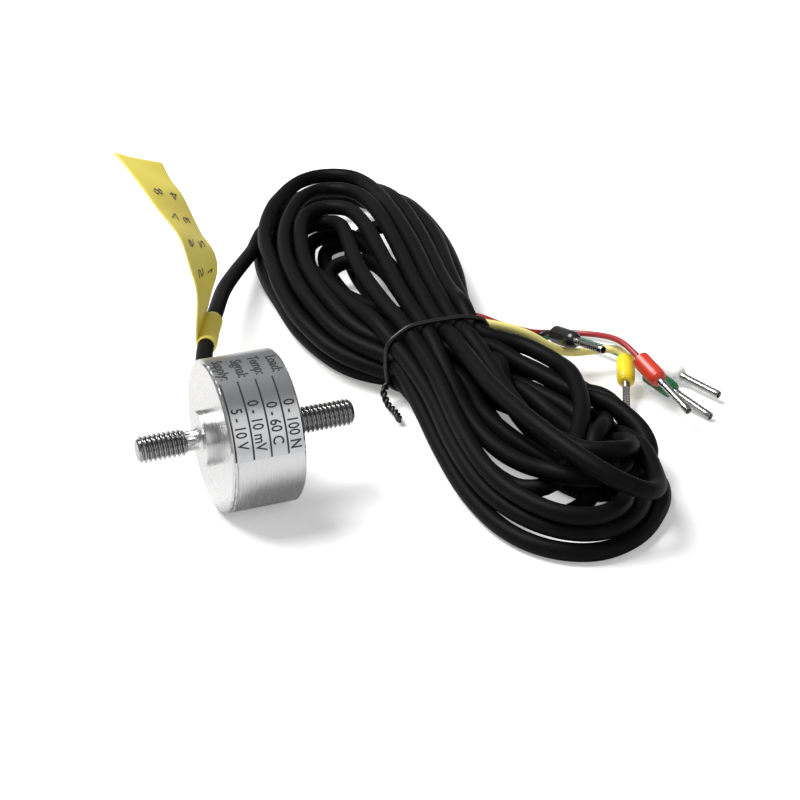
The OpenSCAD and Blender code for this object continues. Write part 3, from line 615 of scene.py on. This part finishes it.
def with_thread(node, name, keep, normal, rod):
    """A copy of a node, cut square where its plain stud begins and given the threaded rod instead."""
    bpy.ops.object.select_all(action="DESELECT")
    body = bpy.data.objects.new(name, NODES[node].data.copy())
    body.data.transform(NODES[node].matrix_world)
    bpy.context.scene.collection.objects.link(body)
    only(body)
    bpy.ops.object.mode_set(mode="EDIT")
    bpy.ops.mesh.select_all(action="SELECT")
    bpy.ops.mesh.remove_doubles(threshold=1e-6)
    bpy.ops.mesh.select_all(action="SELECT")
    bpy.ops.mesh.bisect(plane_co=(keep * MM, 0, AXIS_Z * MM), plane_no=normal, use_fill=True,
                        clear_outer=True)
    bpy.ops.mesh.select_all(action="SELECT")
    bpy.ops.mesh.dissolve_limited(angle_limit=math.radians(0.5))
    bpy.ops.object.mode_set(mode="OBJECT")
    smooth(joined(name, [body, rod]), 22)
    return finish(body, "WEIGHTED_NORMAL", keep_sharp=True)


rear_body = with_thread("housing", "sensor_housing", 5.6, (1, 0, 0), threaded("rear_thread", 5.5, 16.3))
front_body = with_thread("sensing_element", "sensor_front", -9.2, (-1, 0, 0),
                         threaded("front_thread", -9.15, -16.3, 1.5))


# The label's print, laid on the round
def round_label(piece, x, angle):
    """Wraps a flat piece in mm on the label: x runs down the round from the angle, y along the axis."""
    for vertex in piece.data.vertices:
        u, v, w = vertex.co
        turn = math.radians(angle) - u / LABEL_R
        radius = LABEL_R + 0.004 + w
        vertex.co = Vector((x + v, -radius * math.cos(turn), AXIS_Z + radius * math.sin(turn))) * MM
    piece.data.update()
    return piece


def sliced(piece, span, step=0.5):
    """Cuts a flat piece across its length so that it can follow the round."""
    only(piece)
    bpy.ops.object.mode_set(mode="EDIT")
    for cut in np.arange(step, span, step):
        bpy.ops.mesh.select_all(action="SELECT")
        bpy.ops.mesh.bisect(plane_co=(cut, 0, 0), plane_no=(1, 0, 0))
    bpy.ops.object.mode_set(mode="OBJECT")
    return piece


def print_words(words, x, top, bottom, narrow=0.8):
    """Words down the round, as long as the angles allow at most, and ending at bottom."""
    bpy.ops.object.select_all(action="DESELECT")
    bpy.ops.object.text_add()
    piece = bpy.context.active_object
    piece.data.body = words
    piece.data.size = LETTER_H / 0.7
    piece.data.extrude = PRINT_T / 2
    piece.data.offset = LETTER_BOLD
    piece.data.resolution_u = 3
    bpy.ops.object.convert(target="MESH")
    wide = max(vertex.co.x for vertex in piece.data.vertices)
    room = math.radians(top - bottom) * LABEL_R
    share = min(narrow, room / wide)
    for vertex in piece.data.vertices:
        vertex.co.x *= share
        vertex.co.z += PRINT_T / 2
    start = top if share < narrow else bottom + math.degrees(wide * share / LABEL_R)
    return round_label(sliced(piece, wide * share), x, start)


def print_rule(x):
    bpy.ops.object.select_all(action="DESELECT")
    span = math.radians(RULE_ANGLES[1] - RULE_ANGLES[0]) * LABEL_R
    bpy.ops.mesh.primitive_cube_add(size=1, location=(span / 2, 0, PRINT_T / 2),
                                    scale=(span, RULE_W, PRINT_T))
    piece = bpy.context.active_object
    bpy.ops.object.transform_apply(location=True, rotation=True, scale=True)
    return round_label(sliced(piece, span), x, RULE_ANGLES[1])


def label_print():
    pieces = []
    for x, (heading, value, top, bottom) in zip(RULES, COLUMNS):
        pieces.append(print_rule(x))
        pieces.append(print_words(value, x + 0.42, top, bottom))
        pieces.append(print_words(heading, x + 0.42, *HEADING_ENDS))
    return joined("label_print", pieces)


# Ferrule pins: thin crimped tubes, open at the tip
def pin(colour):
    at, to = np.array(WIRES[colour]["at"], float), unit(WIRES[colour]["to"])
    side = unit(np.cross(to, (0, 0, 1)))
    up = np.cross(side, to)
    start = at + to * COLLAR_LEN
    outer, bore = PIN_D / 2, PIN_D / 2 - PIN_WALL
    profile = [(-0.3, outer), (0.9, outer)]
    for ridge in range(9):
        profile += [(1.1 + ridge * 0.62, outer - 0.07), (1.42 + ridge * 0.62, outer - 0.07),
                    (1.5 + ridge * 0.62, outer), (1.64 + ridge * 0.62, outer)]
    profile += [(PIN_LEN - 0.08, outer), (PIN_LEN, outer - 0.05), (PIN_LEN, bore + 0.03),
                (PIN_LEN - 0.06, bore), (PIN_LEN - 2.2, bore)]

    def place(u, v):
        along, radius = profile[round(v * (len(profile) - 1))]
        angle = 2 * math.pi * u
        flat = 1 - 0.05 * (0.5 + 0.5 * math.cos(4 * angle)) * (0.9 < along < 6.8)
        return start + to * along + (math.cos(angle) * side + math.sin(angle) * up) * radius * flat

    return smooth(formed("pin_%s_tube" % colour, 28, len(profile) - 1, place, tube=True))


tape_flag = flag()
pen_marks = pen_figures()
cable_tie = tie()
print_piece = label_print()
pins = {colour: pin(colour) for colour in WIRES}


# Materials
def material(name, colour, roughness, metallic=0.0, grain=4000.0, bump=0.1, mottle=0.08, mottle_scale=300.0,
             turned=False, **sockets):
    """A finish with fine grain, a little colour variation and uneven gloss; turned adds tool marks."""
    made = bpy.data.materials.new(name)
    made.use_nodes = True
    nodes, links = made.node_tree.nodes, made.node_tree.links
    shader = nodes["Principled BSDF"]
    place = nodes.new("ShaderNodeTexCoord").outputs["Object"]
    spots = nodes.new("ShaderNodeTexNoise")
    spots.inputs["Scale"].default_value = mottle_scale
    spots.inputs["Detail"].default_value = 4
    links.new(place, spots.inputs["Vector"])
    tint = nodes.new("ShaderNodeMix")
    tint.data_type = "RGBA"
    tint.inputs["A"].default_value = (*[c * (1 - mottle) for c in colour], 1)
    tint.inputs["B"].default_value = (*[min(1, c * (1 + mottle)) for c in colour], 1)
    links.new(spots.outputs["Fac"], tint.inputs["Factor"])
    links.new(tint.outputs["Result"], shader.inputs["Base Color"])
    fine = nodes.new("ShaderNodeTexNoise")
    fine.inputs["Scale"].default_value = grain
    fine.inputs["Detail"].default_value = 3
    if turned:
        links.new(tool_marks(made, place), fine.inputs["Vector"])
    else:
        links.new(place, fine.inputs["Vector"])
    gloss = nodes.new("ShaderNodeMapRange")
    gloss.inputs["To Min"].default_value = roughness * 0.8
    gloss.inputs["To Max"].default_value = min(1, roughness * 1.2)
    links.new(fine.outputs["Fac"], gloss.inputs["Value"])
    links.new(gloss.outputs["Result"], shader.inputs["Roughness"])
    relief = nodes.new("ShaderNodeBump")
    relief.inputs["Strength"].default_value = bump
    relief.inputs["Distance"].default_value = 0.0001
    links.new(fine.outputs["Fac"], relief.inputs["Height"])
    links.new(relief.outputs["Normal"], shader.inputs["Normal"])
    shader.inputs["Metallic"].default_value = metallic
    for socket, value in sockets.items():
        shader.inputs[socket.replace("_", " ").title().replace("Ior", "IOR")].default_value = value
    return made


def tool_marks(made, place):
    """Coordinates that vary along the sensor's axis and its radius but not round it, as lathe marks do."""
    nodes, links = made.node_tree.nodes, made.node_tree.links
    centre = nodes.new("ShaderNodeMapping")
    centre.inputs["Location"].default_value = (0, 0, -AXIS_Z * MM)
    links.new(place, centre.inputs["Vector"])
    split = nodes.new("ShaderNodeSeparateXYZ")
    links.new(centre.outputs["Vector"], split.inputs["Vector"])
    across = nodes.new("ShaderNodeCombineXYZ")
    links.new(split.outputs["Y"], across.inputs["Y"])
    links.new(split.outputs["Z"], across.inputs["Z"])
    radius = nodes.new("ShaderNodeVectorMath")
    radius.operation = "LENGTH"
    links.new(across.outputs["Vector"], radius.inputs[0])
    marks = nodes.new("ShaderNodeCombineXYZ")
    links.new(split.outputs["X"], marks.inputs["X"])
    links.new(radius.outputs["Value"], marks.inputs["Y"])
    return marks.outputs["Vector"]


STEEL = material("satin_steel", (0.6, 0.6, 0.6), 0.27, 1.0, 7000, 0.25, 0.03, turned=True)
# Stud steel: the body's steel with a darker base colour, painted shade standing in for the shade between the
# thread crests and on the studs' lower half.
SHADED_STUD_STEEL = material("stud_steel_painted_shade", (0.3, 0.3, 0.3), 0.2, 1.0, 5000, 0.1, 0.1)
FOIL = material("label_foil", (0.56, 0.57, 0.58), 0.3, 1.0, 5000, 0.12, 0.04)
JACKET = material("cable_jacket", (0.004, 0.004, 0.0045), 0.5, 0.0, 3500, 0.15, 0.3, 500,
                  specular_ior_level=0.05)
RUBBER = material("seal_rubber", (0.008, 0.008, 0.008), 0.55, 0.0, 3500, 0.2, 0.3, specular_ior_level=0.3)
TIE_PLASTIC = material("tie_plastic", (0.006, 0.006, 0.006), 0.38, 0.0, 3000, 0.1, 0.3,
                       specular_ior_level=0.4)
TAPE = material("flag_tape", (0.86, 0.72, 0.13), 0.45, 0.0, 2500, 0.15, 0.06, 120, specular_ior_level=0.3)
INK = material("pen_ink", (0.16, 0.13, 0.07), 0.6, 0.0, 4000, 0.1, 0.1)
PRINT = material("label_print", (0.02, 0.02, 0.022), 0.5, 0.0, 4000, 0.1, 0.1)
TIN = material("tinned_pin", (0.42, 0.42, 0.41), 0.22, 1.0, 3000, 0.4, 0.25, 900)
COPPER = material("copper_wire", (0.75, 0.4, 0.2), 0.3, 1.0, 4000, 0.1, 0.1)
BRASS = material("brass", (0.75, 0.55, 0.22), 0.3, 1.0, 4000, 0.1, 0.05)
BOARD = material("bridge_board", (0.02, 0.16, 0.07), 0.4, 0.0, 3000, 0.1, 0.1)
PAD = material("board_pad", (0.75, 0.74, 0.7), 0.6, 0.0, 3000, 0.1, 0.05)
RESISTOR = material("resistor", (0.03, 0.03, 0.035), 0.4, 0.0, 3000, 0.1, 0.1)
GAUGE = material("gauge_foil", (0.6, 0.3, 0.08), 0.35, 0.3, 4000, 0.1, 0.1)
INSULATION = {
    "yellow": material("insulation_yellow", (0.85, 0.76, 0.25), 0.45, 0.0, 3000, 0.15, 0.12, 700),
    "red": material("insulation_red", (0.34, 0.02, 0.025), 0.4, 0.0, 3000, 0.1, 0.08),
    "green": material("insulation_green", (0.02, 0.18, 0.06), 0.4, 0.0, 3000, 0.1, 0.08),
    "white": material("insulation_white", (0.82, 0.82, 0.8), 0.4, 0.0, 3000, 0.1, 0.04),
    "black": material("insulation_black", (0.012, 0.012, 0.012), 0.4, 0.0, 3000, 0.1, 0.2),
}
COLLARS = {
    "yellow": material("collar_yellow", (0.9, 0.68, 0.02), 0.3, 0.0, 2500, 0.08, 0.05),
    "red": material("collar_red", (0.58, 0.04, 0.018), 0.3, 0.0, 2500, 0.08, 0.05),
    "green": material("collar_green", (0.01, 0.14, 0.05), 0.3, 0.0, 2500, 0.08, 0.05),
    "white": material("collar_white", (0.85, 0.85, 0.84), 0.3, 0.0, 2500, 0.08, 0.03),
    "black": material("collar_black", (0.012, 0.012, 0.012), 0.22, 0.0, 2500, 0.08, 0.1),
}


def paint(piece, made):
    piece.data.materials.clear()
    piece.data.materials.append(made)


def dress(piece, made):
    """Paints a new piece and fixes it to the body."""
    paint(piece, made)
    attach(piece, "root")
    return piece


# CAD nodes that keep their own shape
def dress_nodes():
    plain = {
        "rating_label": FOIL, "cable_outlet": STEEL,
        "outlet_seal": RUBBER, "cable_anchor": BRASS, "cable_inner_end": JACKET, "inner_cores": COPPER,
        "gauge_leads": COPPER, "bridge_board": BOARD, "board_pads": PAD, "trim_resistors": RESISTOR,
    }
    for name, made in plain.items():
        paint(NODES[name], made)
    for number in range(1, 5):
        paint(NODES["strain_gauge_%d" % number], GAUGE)
    for colour, made in COLLARS.items():
        paint(NODES["collar_" + colour], made)


dress_nodes()

dress(cable, JACKET)
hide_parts("cable_lead", "cable_hank")
for colour, (piece, line) in wires.items():
    dress(piece, INSULATION[colour])
    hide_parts("wire_" + colour)


def paint_rod(piece, start):
    """Gives the faces further out than start, in mm, the stud steel, whose darker base colour is painted
    shade for the thread grooves and the studs' lower half.
    """
    piece.data.materials.append(SHADED_STUD_STEEL)
    for face in piece.data.polygons:
        if abs(face.center.x) > start * MM:
            face.material_index = 1


for piece, made, node in ((rear_body, STEEL, "housing"), (front_body, STEEL, "sensing_element"),
                          (tape_flag, TAPE, "flag_label"), (cable_tie, TIE_PLASTIC, "hank_tie")):
    dress(piece, made)
    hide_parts(node)
for colour, piece in pins.items():
    dress(piece, TIN)
    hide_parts("pin_" + colour)
# The studs take the darker steel: painted shade on their threads.
paint_rod(rear_body, 5.6)
paint_rod(front_body, 9.2)
dress(pen_marks, INK)
dress(print_piece, PRINT)


# Floor and light
def add_floor():
    bpy.ops.object.select_all(action="DESELECT")
    bpy.ops.mesh.primitive_plane_add(size=6, location=(0, 0, 0))
    floor = bpy.context.active_object
    floor.name = "floor"
    made = bpy.data.materials.new("floor_white")
    made.use_nodes = True
    nodes, links = made.node_tree.nodes, made.node_tree.links
    nodes.clear()
    diffuse = nodes.new("ShaderNodeBsdfDiffuse")
    diffuse.inputs["Color"].default_value = (0.8, 0.8, 0.8, 1)
    glow = nodes.new("ShaderNodeEmission")
    path = nodes.new("ShaderNodeLightPath")
    seen = nodes.new("ShaderNodeMath")
    seen.operation = "MAXIMUM"
    links.new(path.outputs["Is Camera Ray"], seen.inputs[0])
    links.new(path.outputs["Is Transmission Ray"], seen.inputs[1])
    share = nodes.new("ShaderNodeMath")
    share.operation = "MULTIPLY"
    share.inputs[1].default_value = 0.3
    links.new(seen.outputs[0], share.inputs[0])
    links.new(share.outputs[0], glow.inputs["Strength"])
    both = nodes.new("ShaderNodeAddShader")
    out = nodes.new("ShaderNodeOutputMaterial")
    links.new(diffuse.outputs[0], both.inputs[0])
    links.new(glow.outputs[0], both.inputs[1])
    links.new(both.outputs[0], out.inputs["Surface"])
    paint(floor, made)


def add_light(name, place, aim, size, power):
    data = bpy.data.lights.new(name, "AREA")
    data.shape = "DISK"
    data.size = size
    data.energy = power
    lamp = bpy.data.objects.new(name, data)
    lamp.location = place
    lamp.rotation_mode = "QUATERNION"
    lamp.rotation_quaternion = (Vector(aim) - Vector(place)).to_track_quat("-Z", "Y")
    bpy.context.scene.collection.objects.link(lamp)


def add_world():
    world = bpy.data.worlds.new("studio")
    world.use_nodes = True
    nodes, links = world.node_tree.nodes, world.node_tree.links
    back = nodes["Background"]
    path = nodes.new("ShaderNodeLightPath")
    strength = nodes.new("ShaderNodeMapRange")
    strength.inputs["To Min"].default_value = 0.25
    strength.inputs["To Max"].default_value = 1.0
    seen = nodes.new("ShaderNodeMath")
    seen.operation = "MAXIMUM"
    links.new(path.outputs["Is Camera Ray"], seen.inputs[0])
    links.new(path.outputs["Is Transmission Ray"], seen.inputs[1])
    links.new(seen.outputs[0], strength.inputs["Value"])
    links.new(strength.outputs["Result"], back.inputs["Strength"])
    back.inputs["Color"].default_value = (1, 1, 1, 1)
    bpy.context.scene.world = world


add_floor()
add_light("key", (-0.27, 0.28, 0.63), (0.02, 0.02, 0), 0.5, 8.5)
add_light("front_fill", (0.25, -0.75, 0.45), (0.02, 0.02, 0), 0.9, 1.8)
add_world()
bpy.context.scene.view_settings.view_transform = "Standard"
